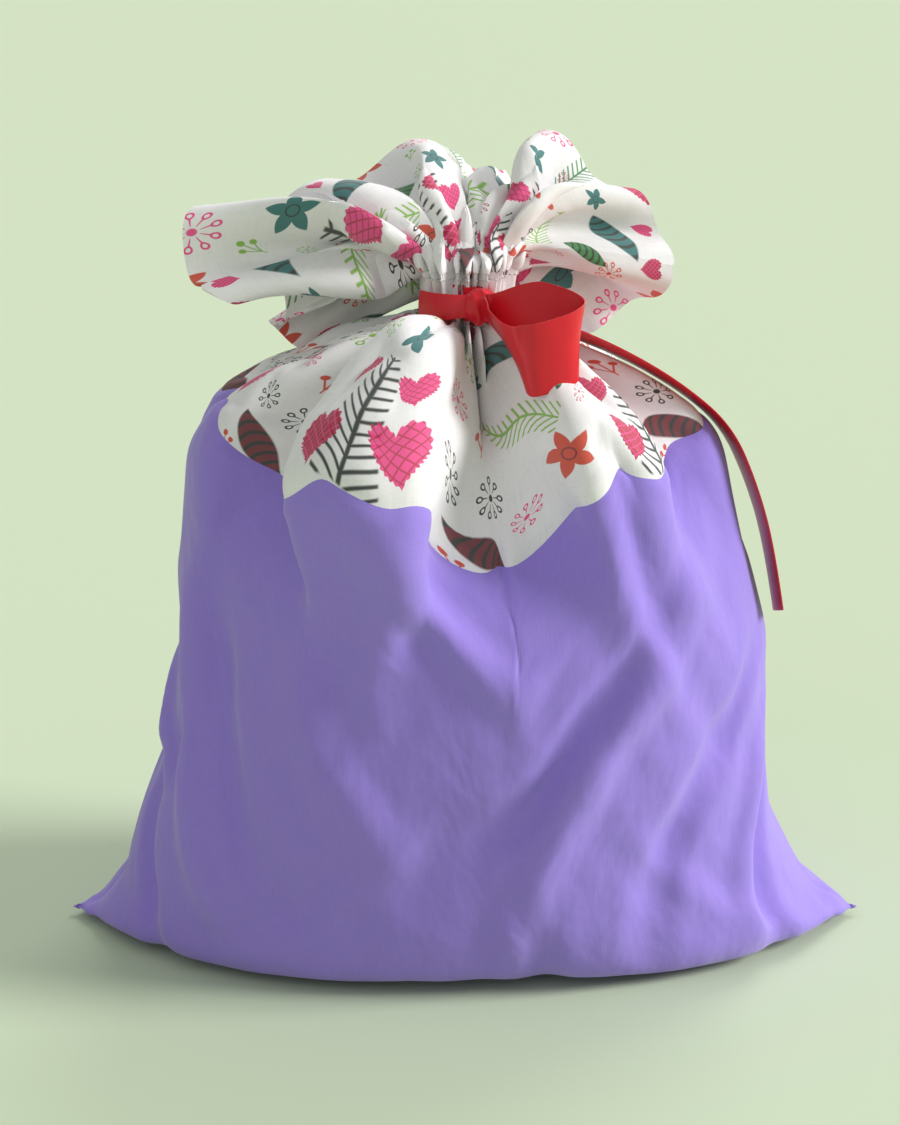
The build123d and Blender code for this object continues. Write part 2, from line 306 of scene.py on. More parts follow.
class Recipe:
    """A material or node group while it is being put together."""

    def __init__(self, tree):
        self.tree = tree

    def add(self, kind, *inputs, **settings):
        node = self.tree.nodes.new(kind)
        for name, value in settings.items():
            setattr(node, name, value)
        for socket, value in zip(node.inputs, inputs):
            self.feed(socket, value)
        return node

    def feed(self, socket, value):
        if isinstance(value, bpy.types.NodeSocket):
            self.tree.links.new(value, socket)
        elif value is not None:
            socket.default_value = value

    def math(self, operation, a, b=None, c=None):
        return self.add("ShaderNodeMath", a, b, c, operation=operation).outputs[0]

    def plus(self, a, b):
        return self.math("ADD", a, b)

    def minus(self, a, b):
        return self.math("SUBTRACT", a, b)

    def times(self, a, b):
        return self.math("MULTIPLY", a, b)

    def size(self, a):
        return self.math("ABSOLUTE", a)

    def squares(self, a, b):
        """The sum of the squares of two values."""
        return self.plus(self.times(a, a), self.times(b, b))

    def within(self, value, limit, softness=0.04):
        """1 where value is under limit and 0 where it is over, with a soft edge."""
        low, high = self.minus(limit, softness), self.plus(limit, softness)
        ramp = self.add("ShaderNodeMapRange", value, low, high, 1.0, 0.0, interpolation_type="SMOOTHSTEP")
        return ramp.outputs[0]

    def mix(self, factor, a, b, blend="MIX"):
        node = self.add("ShaderNodeMix", data_type="RGBA", blend_type=blend)
        self.feed(node.inputs[0], factor)
        self.feed(node.inputs[6], a)
        self.feed(node.inputs[7], b)
        return node.outputs[2]


def new_material(name, **finish):
    """A principled material with a few finish values, and its recipe and shader."""
    material = bpy.data.materials.new(name)
    material.use_nodes = True
    shader = material.node_tree.nodes["Principled BSDF"]
    for socket, value in finish.items():
        shader.inputs[socket.replace("_", " ")].default_value = value
    return material, Recipe(material.node_tree), shader


# Waves of noise to a metre of cloth, each way.
WARP = (1900, 150)
WEFT = (150, 1900)
SOFT_CRUMPLE = (34, 22)
DYE_PATCHES = (9, 9)
SATIN_RIBS = (260, 5200)
SATIN_PATCHES = (60, 40)
THREAD_TWIST = (3000, 3000)


def noise_over(recipe, place, waves, detail=2.0):
    """Noise over a place, with so many waves to a metre each way."""
    stretched = recipe.add("ShaderNodeMapping", place, (0, 0, 0), (0, 0, 0), (*waves, 1.0))
    return recipe.add("ShaderNodeTexNoise", stretched.outputs[0], None, 1.0, detail).outputs[0]


def raise_surface(recipe, height, strength, distance, under=None):
    """Bump from a height, over another bump."""
    bump = recipe.add("ShaderNodeBump", strength, distance)
    recipe.feed(bump.inputs["Height"], height)
    if under:
        recipe.feed(bump.inputs["Normal"], under)
    return bump.outputs[0]


def weave(recipe, shader, place, crumple=1.0):
    """The weave's slubby threads both ways, and the fine crumple of soft cotton."""
    threads = recipe.plus(noise_over(recipe, place, WARP), noise_over(recipe, place, WEFT))
    fine = raise_surface(recipe, threads, 0.25, 0.0002)
    broad = raise_surface(recipe, noise_over(recipe, place, SOFT_CRUMPLE, 3.0), 0.5 * crumple, 0.006, fine)
    recipe.feed(shader.inputs["Normal"], broad)
    return threads


def plain_cotton(name, colour, shade):
    """Dyed cotton, a little uneven in its colour."""
    material, recipe, shader = new_material(name, Roughness=0.86, Sheen_Weight=0.25, Sheen_Roughness=0.5)
    place = recipe.add("ShaderNodeUVMap", uv_map="pattern").outputs[0]
    threads = weave(recipe, shader, place)
    uneven = recipe.times(recipe.plus(threads, noise_over(recipe, place, DYE_PATCHES, 3.0)), 0.33)
    recipe.feed(shader.inputs["Base Color"], recipe.mix(uneven, (*shade, 1), (*colour, 1)))
    return material


def satin(name, colour, deep):
    """Ribbon satin: smooth, with fine ribs across it."""
    material, recipe, shader = new_material(name, Roughness=0.38, Specular_IOR_Level=0.45)
    place = recipe.add("ShaderNodeUVMap", uv_map="pattern").outputs[0]
    ribs = raise_surface(recipe, noise_over(recipe, place, SATIN_RIBS), 0.2, 0.00015)
    recipe.feed(shader.inputs["Normal"], ribs)
    patches = noise_over(recipe, place, SATIN_PATCHES)
    recipe.feed(shader.inputs["Base Color"], recipe.mix(patches, (*deep, 1), (*colour, 1)))
    return material


def plain_thread(name, colour):
    """Sewing thread, with painted shade in the hollows of its twist."""
    material, recipe, shader = new_material(name, Roughness=0.6)
    place = recipe.add("ShaderNodeTexCoord").outputs["Object"]
    twist = noise_over(recipe, place, THREAD_TWIST, 1.0)
    # painted shade: the thread's colour at 0.7, mixed in by noise to stand for shade in the hollows of the
    # twist
    hollow_shade = [0.7 * part for part in colour]
    recipe.feed(shader.inputs["Base Color"], recipe.mix(twist, (*hollow_shade, 1), (*colour, 1)))
    return material


# ---- the print: each motif is drawn in a square from -1 to 1, with its shape and a second ink --------------


def motif_group(name, draw):
    """A node group that turns a place in the motif's square into its shape and its second ink."""
    tree = bpy.data.node_groups.new(name, "ShaderNodeTree")
    tree.interface.new_socket("Place", in_out="INPUT", socket_type="NodeSocketVector")
    for output in ("Shape", "Detail"):
        tree.interface.new_socket(output, in_out="OUTPUT", socket_type="NodeSocketFloat")
    recipe = Recipe(tree)
    place = tree.nodes.new("NodeGroupInput").outputs[0]
    split = recipe.add("ShaderNodeSeparateXYZ", place).outputs
    shape, detail = draw(recipe, split[0], split[1])
    output = tree.nodes.new("NodeGroupOutput")
    recipe.feed(output.inputs[0], shape)
    recipe.feed(output.inputs[1], detail)
    return tree


def polar(recipe, x, y, points):
    """The distance from the middle, and the place in one of so many equal sectors, from 0 to 1 and back."""
    r = recipe.math("SQRT", recipe.squares(x, y))
    turn = recipe.times(recipe.math("ARCTAN2", x, y), points / (2 * pi))
    return r, recipe.math("PINGPONG", recipe.times(turn, 2.0), 1.0)


def draw_heart(recipe, x, y):
    """A heart with a pinked edge, crossed by fine diagonal lines."""
    lobe = recipe.times(recipe.math("SQRT", recipe.size(x)), 0.75)
    tall = recipe.minus(recipe.times(y, 1.1), recipe.minus(lobe, 0.25))
    turn = recipe.math("ARCTAN2", x, y)
    teeth = recipe.times(recipe.math("SINE", recipe.times(turn, 26.0)), 0.07)
    shape = recipe.within(recipe.plus(recipe.squares(x, tall), teeth), 0.78)
    slants = (recipe.plus(x, y), recipe.minus(x, y))
    lines = [recipe.size(recipe.math("WRAP", slant, 0.19, -0.19)) for slant in slants]
    hatch = recipe.within(recipe.math("MINIMUM", *lines), 0.03, 0.02)
    return shape, hatch


def draw_star(recipe, x, y):
    """A five-pointed star with a small ring for its middle."""
    r, sector = polar(recipe, x, y, 5)
    edge = recipe.minus(1.0, recipe.times(sector, 0.56))
    shape = recipe.within(recipe.math("DIVIDE", r, edge), 1.0)
    middle = recipe.within(recipe.size(recipe.minus(r, 0.24)), 0.03, 0.02)
    return shape, middle


def draw_burst(recipe, x, y):
    """A burst of petals on short spokes round a dot."""
    r, sector = polar(recipe, x, y, 9)
    reach = recipe.within(recipe.size(recipe.minus(r, 0.44)), 0.18)
    spoke = recipe.times(recipe.within(sector, 0.16, 0.06), reach)
    out = recipe.math("DIVIDE", recipe.minus(r, 0.78), 0.2)
    petal = recipe.squares(out, recipe.math("DIVIDE", sector, 0.55))
    ring = recipe.within(recipe.size(recipe.minus(petal, 0.62)), 0.36, 0.1)
    dot = recipe.within(r, 0.17)
    shape = recipe.math("MAXIMUM", recipe.math("MAXIMUM", spoke, dot), ring)
    return shape, 0.0


def draw_sprig(recipe, x, y):
    """A long sprig: a stem with pairs of slanting needles, shorter towards the tip."""
    wide = recipe.size(x)
    stem = recipe.within(wide, 0.03, 0.015)
    slant = recipe.math("WRAP", recipe.minus(y, recipe.times(wide, 0.8)), 0.085, -0.085)
    needle = recipe.within(recipe.size(slant), 0.026, 0.016)
    reach = recipe.minus(0.30, recipe.times(y, 0.16))
    needles = recipe.times(needle, recipe.within(wide, reach, 0.02))
    length = recipe.within(recipe.size(y), 0.96, 0.02)
    return recipe.times(recipe.math("MAXIMUM", stem, needles), length), 0.0


def draw_leaf(recipe, x, y):
    """A broad leaf with dark cross stripes."""
    bulge = recipe.minus(0.42, recipe.times(recipe.times(y, y), 0.40))
    shape = recipe.within(recipe.size(x), bulge)
    wave = recipe.plus(y, recipe.times(recipe.times(x, x), 0.9))
    stripe = recipe.within(recipe.size(recipe.math("WRAP", wave, 0.15, -0.15)), 0.05, 0.03)
    return shape, stripe


def draw_berries(recipe, x, y):
    """Three berries on forked stalks, as a mirrored pair and one above."""
    wide = recipe.size(x)
    berries = []
    for aside, up, radius in ((0.5, 0.25, 0.2), (0.0, 0.68, 0.22)):
        r = recipe.math("SQRT", recipe.squares(recipe.minus(wide, aside), recipe.minus(y, up)))
        berries.append(recipe.within(r, radius))
    fork = recipe.size(recipe.minus(wide, recipe.times(recipe.plus(y, 0.6), 0.6)))
    stalk = recipe.times(recipe.within(fork, 0.05, 0.03), recipe.within(y, 0.2, 0.03))
    trunk = recipe.times(recipe.within(wide, 0.04, 0.02), recipe.within(y, 0.6, 0.03))
    foot = recipe.within(recipe.times(y, -1.0), 0.9, 0.03)
    stems = recipe.times(recipe.math("MAXIMUM", stalk, trunk), foot)
    return recipe.math("MAXIMUM", recipe.math("MAXIMUM", *berries), stems), 0.0


INKS = {
    "pink": (0.78, 0.045, 0.24), "crimson": (0.42, 0.008, 0.05), "orange": (0.62, 0.05, 0.015),
    "teal": (0.012, 0.15, 0.15), "green": (0.03, 0.22, 0.045), "lime": (0.22, 0.46, 0.05),
    "black": (0.008, 0.018, 0.014), "maroon": (0.16, 0.01, 0.02), "navy": (0.01, 0.015, 0.06),
}

PRINT_REPEAT = (120.0, 104.0)
PRINT_START = (78.0, 268.0)

# The print's repeat: motif, middle, half size, turn in degrees, ink, second ink.
PRINT = [
    ("sprig", (62, 24), 25, 8, "black", None),
    ("heart", (48, 13), 8.5, 12, "crimson", "pink"),
    ("heart", (75, 15), 10.5, -8, "pink", "crimson"),
    ("heart", (76, 37), 7, -14, "pink", "crimson"),
    ("heart", (52, 39), 6.5, 16, "crimson", "pink"),
    ("star", (70, 58), 7.5, 10, "teal", "black"),
    ("burst", (95, 24), 6, 0, "black", None),
    ("burst", (94, 47), 5, 20, "pink", None),
    ("burst", (36, 60), 6, 0, "orange", None),
    ("leaf", (16, 66), 13, 68, "teal", "black"),
    ("leaf", (28, 50), 9, 30, "green", "black"),
    ("star", (20, 18), 8.5, -12, "orange", "maroon"),
    ("sprig", (8, 38), 15, -62, "lime", None),
    ("berries", (108, 40), 6.5, 0, "orange", None),
    ("leaf", (106, 6), 12, -54, "maroon", "black"),
    ("burst", (112, 22), 6.5, 0, "black", None),
    ("heart", (112, 84), 8, 18, "crimson", "pink"),
    ("star", (44, 88), 9.5, 0, "orange", "maroon"),
    ("burst", (66, 82), 7.5, 0, "pink", None),
    ("sprig", (84, 84), 19, -18, "green", None),
    ("heart", (94, 92), 6.5, -8, "pink", "crimson"),
    ("heart", (76, 95), 5.5, 22, "crimson", "pink"),
    ("burst", (100, 68), 7.5, 10, "lime", None),
    ("burst", (22, 92), 5, 0, "black", None),
    ("berries", (58, 68), 5, 40, "lime", None),
    ("leaf", (2, 94), 8, 20, "navy", "teal"),
    ("burst", (84, 70), 3.4, 0, "crimson", None),
    ("burst", (32, 33), 3.6, 12, "crimson", None),
    ("burst", (4, 14), 4.2, 0, "pink", None),
    ("heart", (30, 76), 4.2, -12, "crimson", "pink"),
    ("star", (116, 62), 4.6, 24, "teal", "black"),
    ("berries", (98, 103), 4.5, -30, "orange", None),
    ("burst", (54, 54), 3.2, 0, "lime", None),
    ("heart", (10, 78), 3.8, 20, "pink", "crimson"),
]


MOTIFS = {
    "heart": draw_heart, "star": draw_star, "burst": draw_burst, "sprig": draw_sprig, "leaf": draw_leaf,
    "berries": draw_berries,
}
INK_COVER = 0.94


def print_cotton():
    """White cotton with a small winter print of hearts, stars, sprigs and leaves."""
    finish = {"Roughness": 0.84, "Sheen_Weight": 0.2, "Sheen_Roughness": 0.5}
    material, recipe, shader = new_material("printed_cotton", **finish)
    place = recipe.add("ShaderNodeUVMap", uv_map="pattern").outputs[0]
    threads = weave(recipe, shader, place, 0.7)
    start = (-PRINT_START[0], -PRINT_START[1], 0)
    millimetres = recipe.add("ShaderNodeMapping", place, start, (0, 0, 0), (1000, 1000, 1)).outputs[0]
    colour = recipe.mix(threads, (0.62, 0.59, 0.62, 1), (0.80, 0.78, 0.80, 1))
    high = Vector((*PRINT_REPEAT, 2.0)) / 2
    groups = {name: motif_group(name, draw) for name, draw in MOTIFS.items()}
    for motif, middle, size, turn, ink, second in PRINT:
        moved = recipe.add("ShaderNodeVectorMath", millimetres, (*middle, 0), operation="SUBTRACT")
        wrapped = recipe.add("ShaderNodeVectorMath", moved.outputs[0], high, -high, operation="WRAP")
        turned = recipe.add(
            "ShaderNodeMapping", wrapped.outputs[0], (0, 0, 0), (0, 0, radians(turn)), (1 / size, 1 / size, 1)
        )
        group = recipe.add("ShaderNodeGroup", node_tree=groups[motif])
        recipe.feed(group.inputs[0], turned.outputs[0])
        paint = (*INKS[ink], 1)
        if second:
            paint = recipe.mix(group.outputs[1], paint, (*INKS[second], 1))
        colour = recipe.mix(recipe.times(group.outputs[0], INK_COVER), colour, paint)
    recipe.feed(shader.inputs["Base Color"], colour)
    return material


# ---- the bag's shape -----------------------------------------------------------------------------------


def ring_at(height):
    """The body's ring at a height: left, right, depth and squareness, between the named rings."""
    if height <= BODY_RINGS[0][0]:
        return BODY_RINGS[0][1:]
    for low, high in zip(BODY_RINGS, BODY_RINGS[1:]):
        if height <= high[0]:
            t = (height - low[0]) / (high[0] - low[0])
            return tuple(mix(a, b, t) for a, b in zip(low[1:], high[1:]))
    return BODY_RINGS[-1][1:]


def half_outline(ring, count=64):
    """Points from the left end over the front to the right end of a ring."""
    left, right, depth, square = ring
    points = []
    for step in range(count + 1):
        turn = pi * step / count
        c, s = cos(turn), sin(turn)
        x = (-left if c > 0 else right) * abs(c) ** (2 / SQUARE_ENDS)
        points.append(Vector((x, -depth * s ** (2 / square))))
    return points


def along(points, share):
    """The point at a share of a polyline's length."""
    lengths = [(b - a).length for a, b in zip(points, points[1:])]
    rest = share * sum(lengths)
    for a, b, length in zip(points, points[1:], lengths):
        if rest <= length:
            return a.lerp(b, rest / length if length else 0.0)
        rest -= length
    return points[-1].copy()


def pleat_wave(u):
    """-1 at the bottom of a pleat and 1 at its top, with slightly uneven pleats."""
    turn = u / ROUND
    phase = PLEATS * turn + 0.22 * sin(2 * pi * 3 * turn + 1.0) + 0.15 * sin(2 * pi * 7 * turn)
    saw = 2 * abs(2 * (phase % 1.0) - 1) - 1
    return sin(saw * pi / 2) * 0.4 + saw * 0.6


def neck_point(u, v):
    """A point of the pleated neck, up to its top."""
    share = (v - NECK_V) / NECK_LENGTH
    turn = pi + 2 * pi * u / ROUND
    uneven = 1 + 0.10 * sin(5 * turn + 0.6) + 0.06 * sin(11 * turn)
    waist = 1 - (2 * share - 1) ** 4
    outer = PLEAT_OUTER * uneven - WAIST_SQUEEZE * waist
    inner = mix(PLEAT_INNER, WAIST_INNER, waist)
    radius = mix(inner, outer, 0.5 + 0.5 * pleat_wave(u))
    return Vector((radius * cos(turn), radius * sin(turn), NECK_Z + NECK_LENGTH * share))


def meridian(u):
    """The line that a column of the cloth follows from the bottom seam to the foot of the neck."""
    front = u <= BAG_WIDTH
    share = (u if front else ROUND - u) / BAG_WIDTH
    side = 1 if front else -1
    points = [Vector(((share - 0.5) * 2 * BOTTOM_HALF, 0, SEAM_LIFT))]
    for height, *_ in BODY_RINGS:
        place = along(half_outline(ring_at(height)), share)
        points.append(Vector((place.x, side * place.y, height)))
    points.append(neck_point(u, NECK_V))
    return points


def across_fold(u, place, half):
    """1 on a fold's line and 0 past its sides."""
    away = (u - place + BAG_WIDTH) % ROUND - BAG_WIDTH
    return max(0.0, 1 - (away / half) ** 2) ** 2


def fold_height(u, v):
    """How far the cloth stands out of the smooth body."""
    total = 0.0
    for place, half, height, top, foot in FOLDS:
        fade = smoothstep(foot - 30, foot + 45, v) * (1 - smoothstep(top - 28, top + 6, v))
        total += height * across_fold(u, place, half * FOLD_SPREAD) * fade
    return total


def slip(u, v):
    """How far the cloth has slid down in the valleys, which run straighter to the neck than the ridges."""
    depth = sum(
        height * across_fold(u, place, half * VALLEY_SPREAD)
        for place, half, height, top, foot in FOLDS if height < 0
    )
    return SLIP * depth * smoothstep(40, JOIN_V, v) * (1 - smoothstep(JOIN_V, NECK_V, v))


def crease_height(u, v):
    """Soft creases of the body: each runs between two places of the pattern and fades at its ends."""
    total = 0.0
    for (u1, v1), (u2, v2), half, height in CREASES:
        du, dv = u2 - u1, v2 - v1
        length = sqrt(du * du + dv * dv)
        t = ((u - u1) * du + (v - v1) * dv) / length**2
        off = ((u - u1) * dv - (v - v1) * du) / length
        bow = off - half * 0.9 * sin(pi * min(1.0, max(0.0, t)))
        if 0 < t < 1:
            total += height * sin(pi * t) ** 0.7 * (max(0.0, 1 - (bow / half) ** 2) ** 2)
    return total


def gather_height(u, v):
    """The gathers that run down from the neck, all round but for the one broad fold in front."""
    broad = max(0.0, 1 - ((u - BROAD_FOLD) / BROAD_HALF) ** 2)
    fade = smoothstep(NECK_V - GATHER_REACH, NECK_V, v) ** 1.3
    return GATHER * pleat_wave(u) * fade * (1 - 0.85 * broad * (1 - smoothstep(NECK_V - 14, NECK_V, v)))


def smooth_rim(share):
    """A point of the closed rim, by share of the way round: a Catmull-Rom line through the named points."""
    count = len(RIM)
    position = share * count
    index = int(position) % count
    t = position - int(position)
    p0, p1, p2, p3 = (Vector(RIM[(index + k) % count]) for k in (-1, 0, 1, 2))
    return 0.5 * (2 * p1 + (p2 - p0) * t + (2 * p0 - 5 * p1 + 4 * p2 - p3) * t**2
                  + (3 * p1 - p0 - 3 * p2 + p3) * t**3)


RIM_LINE = [smooth_rim(step / 360) for step in range(361)]


def smooth_ruffle(u, t):
    """The ruffle without its gathers: it leaves the neck upwards and arches out to its rim."""
    start = neck_point(u, RUFFLE_V)
    rim = along(RIM_LINE, u / ROUND)
    rise = max(13.0, 0.5 * (rim.z - start.z) + 15)
    outward = (rim - start) * 0.22
    bend = start + Vector((outward.x, outward.y, rise))
    return start.lerp(bend, t).lerp(bend.lerp(rim, t), t)


def ruffle_point(u, v):
    """A point of the ruffle, with the gathers of the neck opening into fewer, wider flutes."""
    t = (v - RUFFLE_V) / RUFFLE_LENGTH
    place = smooth_ruffle(u, t)
    aside = smooth_ruffle((u + 6) % ROUND, t) - smooth_ruffle((u - 6) % ROUND, t)
    ahead = smooth_ruffle(u, min(1.0, t + 0.05)) - smooth_ruffle(u, max(0.0, t - 0.05))
    normal = ahead.cross(aside).normalized()
    turn = 2 * pi * u / ROUND
    calm = 0.9 - 0.12 * sin(turn)  # the front is the smoother half
    gathers = TOP_GATHER * pleat_wave(u) * smoothstep(0.0, 0.2, t) * (1 - smoothstep(0.35, 0.95, t))
    flutes = TOP_FLUTE * sin(FLUTES * turn + 0.9 * sin(2 * turn + 0.5)) * smoothstep(0.1, 0.55, t)
    return place + normal * calm * (gathers + flutes * (1 - 0.45 * smoothstep(0.6, 1.0, t)))


def cloth_shape(u, v, lines):
    """Where a point of the pattern starts, in millimetres."""
    if v > RUFFLE_V:
        return ruffle_point(u, v)
    if v >= NECK_V:
        return neck_point(u, v)
    key = round(u, 3)
    if key not in lines:
        lines[key] = meridian(u)
    place = along(lines[key], (v + slip(u, v)) / NECK_V)
    outward = Vector((place.x, place.y, 0.35 * max(0.0, place.z - 150)))
    height = fold_height(u, v) + gather_height(u, v)
    return place + outward.normalized() * height if outward.length > 1 else place


def rest_place(u, v):
    """The cloth lying flat as the empty bag, the back folded over the front."""
    return Vector((u if u <= BAG_WIDTH else ROUND - u, v, 0)) * MM


def cut_cloth():
    """One grid for the whole sheet, sewn into a bag: its side seam and bottom seam closed."""
    bm = bmesh.new()
    grid = Matrix.Translation((ROUND / 2, TOP_V / 2, 0)) @ Matrix.Diagonal((ROUND / 2, TOP_V / 2, 1, 1))
    bmesh.ops.create_grid(bm, x_segments=COLUMNS, y_segments=ROWS, size=1.0, matrix=grid)
    lay_pattern(bm, lambda vert: vert.co.xy * MM)
    flat = bm.verts.layers.float_vector.new("flat")
    hold = bm.verts.layers.float.new("hold")
    around = bm.verts.layers.float.new("around")
    lines = {}
    for vert in bm.verts:
        u, v = vert.co.x, vert.co.y
        vert[flat] = rest_place(u, v)
        vert[hold] = holding(u, v)
        vert[around] = u
        vert.co = cloth_shape(u, v, lines) * MM
    seam = [vert for vert in bm.verts if vert.is_boundary and vert[flat].y < TOP_V * MM - 1e-6]
    bmesh.ops.remove_doubles(bm, verts=seam, dist=1e-5)
    bmesh.ops.recalc_face_normals(bm, faces=bm.faces)
    return make_object("whole_cloth", bm)


def holding(u, v):
    """How firmly the cloth is held in its starting place: 1 is fixed, 0 is free."""
    if NECK_V - 4 <= v <= RUFFLE_V + 2:
        return 1.0
    if v > NECK_V:
        return RUFFLE_HOLD
    return BODY_HOLD


# ---- the contents and the settling of the cloth ---------------------------------------------------------


def fill_bag():
    """The soft contents, which hold the cloth out while it settles."""
    bm = bmesh.new()
    bmesh.ops.create_uvsphere(bm, u_segments=72, v_segments=48, radius=1.0)
    for vert in bm.verts:
        height = mix(CONTENTS_FOOT, CONTENTS_TOP, 0.5 + 0.5 * vert.co.z)
        left, right, depth, square = ring_at(max(12.0, height))
        turn = atan2(vert.co.y, vert.co.x)
        c, s = cos(turn), sin(turn)
        spread = sqrt(max(0.0, 1 - abs(vert.co.z) ** 5))
        wide = (right if c > 0 else left) * 0.96 - CONTENTS_INSET
        x = wide * (1 if c > 0 else -1) * abs(c) ** (2 / SQUARE_ENDS)
        y = (depth - CONTENTS_INSET) * (1 if s > 0 else -1) * abs(s) ** (2 / square)
        if y < 0:  # a dent high in front, under the cloth's deep valley
            dent = 26 * smoothstep(120, 180, height) * max(0.0, 1 - ((x - 14) / 30) ** 2)
            y += dent * -y / depth
        vert.co = Vector((x * spread, y * spread, height)) * MM
    return make_object("contents", bm)


def settle(cloth, obstacles):
    """Lets the cloth hang from its neck over the contents, from its flat size, and keeps the result."""
    mesh = cloth.data
    cloth.shape_key_add(name="Basis")
    flat_key = cloth.shape_key_add(name="flat")
    for point, place in zip(flat_key.data, mesh.attributes["flat"].data):
        point.co = place.vector
    group = cloth.vertex_groups.new(name="hold")
    for index, value in enumerate(mesh.attributes["hold"].data):
        if value.value > 0:
            group.add([index], value.value, "REPLACE")
    for obstacle in obstacles:
        collision = obstacle.modifiers.new("Collision", "COLLISION")
        collision.settings.thickness_outer = CLOTH_GAP
        collision.settings.cloth_friction = 6.0
    modifier = cloth.modifiers.new("Cloth", "CLOTH")
    settings = modifier.settings
    settings.quality = 6
    settings.mass = 0.25
    settings.air_damping = 3.0
    settings.tension_stiffness = 30
    settings.compression_stiffness = 30
    settings.shear_stiffness = 12
    settings.bending_stiffness = 3.0
    settings.tension_damping = 12
    settings.compression_damping = 12
    settings.shear_damping = 8
    settings.bending_damping = 1.0
    settings.vertex_group_mass = "hold"
    settings.pin_stiffness = 6.0
    settings.rest_shape_key = flat_key
    settings.effector_weights.gravity = GRAVITY
    modifier.collision_settings.distance_min = CLOTH_GAP
    modifier.collision_settings.use_self_collision = False
    modifier.point_cache.frame_start = 1
    modifier.point_cache.frame_end = FRAMES
    scene = bpy.context.scene
    for number in range(1, FRAMES + 1):
        scene.frame_set(number)
    settled = cloth.evaluated_get(bpy.context.evaluated_depsgraph_get()).data
    places = [vert.co.copy() for vert in settled.vertices]
    cloth.modifiers.remove(modifier)
    cloth.shape_key_clear()
    for vert, place in zip(cloth.data.vertices, places):
        vert.co = place
    scene.frame_set(1)
    for obstacle in obstacles:
        obstacle.modifiers.clear()


# ---- cutting the settled cloth into its pieces -----------------------------------------------------------


def lay_pattern(bm, place_of):
    """Gives every corner of a mesh its place in the pattern, in metres."""
    pattern = bm.loops.layers.uv.new("pattern")
    for face in bm.faces:
        for loop in face.loops:
            loop[pattern].uv = place_of(loop.vert)


def make_object(name, bm, *materials):
    """Puts a finished bmesh into the scene, shaded smooth."""
    mesh = bpy.data.meshes.new(name)
    bm.to_mesh(mesh)
    bm.free()
    piece = bpy.data.objects.new(name, mesh)
    bpy.context.collection.objects.link(piece)
    for material in materials:
        mesh.materials.append(material)
    for face in mesh.polygons:
        face.use_smooth = True
    return piece


def keep_modifiers(piece):
    """Makes the modifiers' result the piece's own mesh, with crisp cut edges."""
    depsgraph = bpy.context.evaluated_depsgraph_get()
    finished = bpy.data.meshes.new_from_object(piece.evaluated_get(depsgraph))
    piece.modifiers.clear()
    old, piece.data = piece.data, finished
    bpy.data.meshes.remove(old)
    finished.set_sharp_from_angle(angle=radians(CRISP_EDGE))
    return piece


def thicken(piece, thickness, offset):
    """Gives a sheet its thickness: offset is -1 to grow it inwards and 0 for both ways."""
    wall = piece.modifiers.new("wall", "SOLIDIFY")
    wall.thickness = thickness * MM
    wall.offset = offset
    return keep_modifiers(piece)


def inward(vert, in_body):
    """The way to the inner layers: towards the body's middle, or through the ruffle's wall."""
    if not in_body:
        return -vert.normal
    middle = Vector((0.6 * vert.co.x, 0, min(vert.co.z, 0.15)))
    return ((middle - vert.co).normalized() - vert.normal) * 0.6


def cut_piece(cloth, name, u_range, v_range, material, depth=0.0, thickness=PANEL_THICKNESS, fine=True):
    """The part of the settled cloth inside a window of the pattern, at a depth below its outer surface."""
    bm = bmesh.new()
    bm.from_mesh(cloth.data)
    bm.normal_update()
    pattern = bm.loops.layers.uv["pattern"]
    if depth:
        shifts = [(vert, inward(vert, v_range[0] < NECK_V) * depth * MM) for vert in bm.verts]
        for vert, shift in shifts:
            vert.co += shift
    outside = []
    for face in bm.faces:
        u, v = sum((loop[pattern].uv for loop in face.loops), Vector((0, 0))) / len(face.loops) / MM
        in_ear = depth and min(u % BAG_WIDTH, -u % BAG_WIDTH) + 0.9 * v < EAR_CORNER
        if in_ear or not (u_range[0] < u < u_range[1] and v_range[0] < v < v_range[1]):
            outside.append(face)
    bmesh.ops.delete(bm, geom=outside, context="FACES")
    piece = make_object(name, bm, material)
    if fine:
        smooth = piece.modifiers.new("smooth", "SUBSURF")
        smooth.levels = smooth.render_levels = 1
    return thicken(piece, thickness, -1)


def press_seam(cloth, name, node, u_range, v_range, material):
    """A pressed seam allowance, between the outer cloth and the lining."""
    seam = cut_piece(cloth, name, u_range, v_range, material, SEAM_DEPTH, SEAM_THICKNESS, fine=False)
    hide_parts(node)
    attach(seam, "pouch")


